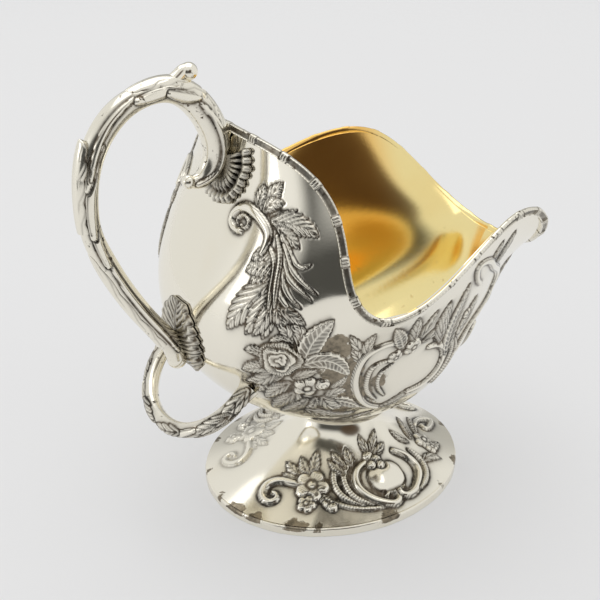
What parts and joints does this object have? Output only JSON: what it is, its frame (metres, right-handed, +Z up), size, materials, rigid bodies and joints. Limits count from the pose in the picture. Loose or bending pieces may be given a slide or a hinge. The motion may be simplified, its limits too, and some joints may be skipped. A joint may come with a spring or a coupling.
{
  "type": "sugar scuttle",
  "caption": "Footed silver sugar scuttle: helmet-shaped bowl with a flared wavy mouth, leafy loop handle, scoop ring behind and oval trumpet foot.",
  "frame": {"origin": "centre of the whole outline's bottom, at the height that the foot stands on", "axes": "+X towards the pouring lip with the handle at -X, +Y to the far side of the plane of symmetry, +Z up"},
  "size_m": [0.146, 0.1038, 0.1435],
  "materials": {
    "polished_silver": "polished silver plate, warm and slightly tarnished, dark in the hollows of the chased work; the bowl's inside is gilt",
    "cast_silver": "cast silver plate, softly worn, with dark tarnish between the leaves",
    "worn_silver": "silver plate rubbed down at the edges, with dull brown patches"
  },
  "bodies": {
    "root": {"bowl_near_half": "polished_silver", "bowl_far_half": "polished_silver", "rim_border_near": "cast_silver", "rim_border_far": "cast_silver", "handle": "cast_silver", "handle_shell_mount": "cast_silver", "handle_leaf_mount": "cast_silver", "scoop_ring": "cast_silver", "foot_cone": "polished_silver", "foot_edge_band": "worn_silver", "foot_collar": "worn_silver"}
  },
  "joints": []
}
